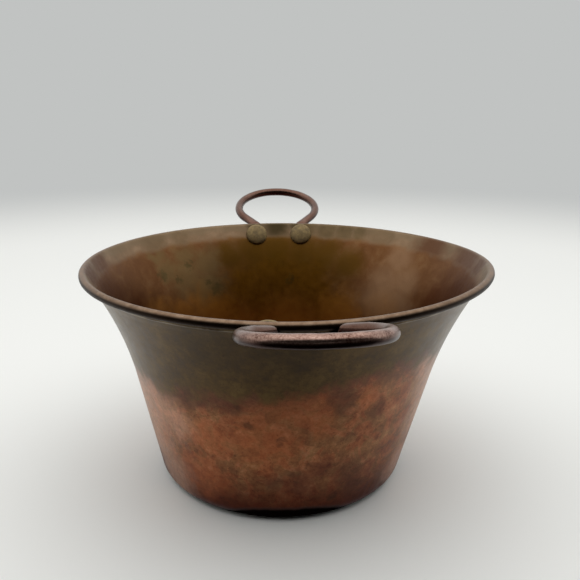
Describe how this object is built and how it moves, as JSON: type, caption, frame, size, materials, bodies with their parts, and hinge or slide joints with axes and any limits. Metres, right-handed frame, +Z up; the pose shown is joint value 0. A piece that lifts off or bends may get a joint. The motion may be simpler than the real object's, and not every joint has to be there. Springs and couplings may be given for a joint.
{
  "type": "flared copper pan",
  "caption": "Hand-raised copper pan with a flat base, flared wall, wired rolled rim and omega loop handles held by domed rivets.",
  "frame": {"origin": "centre of the flat base, on the surface that the pan stands on", "axes": "+Z up along the pan's axis, -Y towards the front handle, +Y towards the rear handle"},
  "size_m": [0.2819, 0.4247, 0.1749],
  "materials": {
    "copper_sheet": "hand-raised copper, dark olive patina above, reddish and mottled below",
    "iron_wire": "bare iron wire, hidden in the rolled rim",
    "copper_rod": "worn pinkish-brown copper rod",
    "copper_rivet": "hammered copper with an olive-tan patina"
  },
  "bodies": {
    "root": {"pan_body": "copper_sheet", "rim_wire": "iron_wire", "front_handle": "copper_rod", "rear_handle": "copper_rod", "front_left_rivet": "copper_rivet", "front_right_rivet": "copper_rivet", "rear_left_rivet": "copper_rivet", "rear_right_rivet": "copper_rivet"}
  },
  "joints": []
}
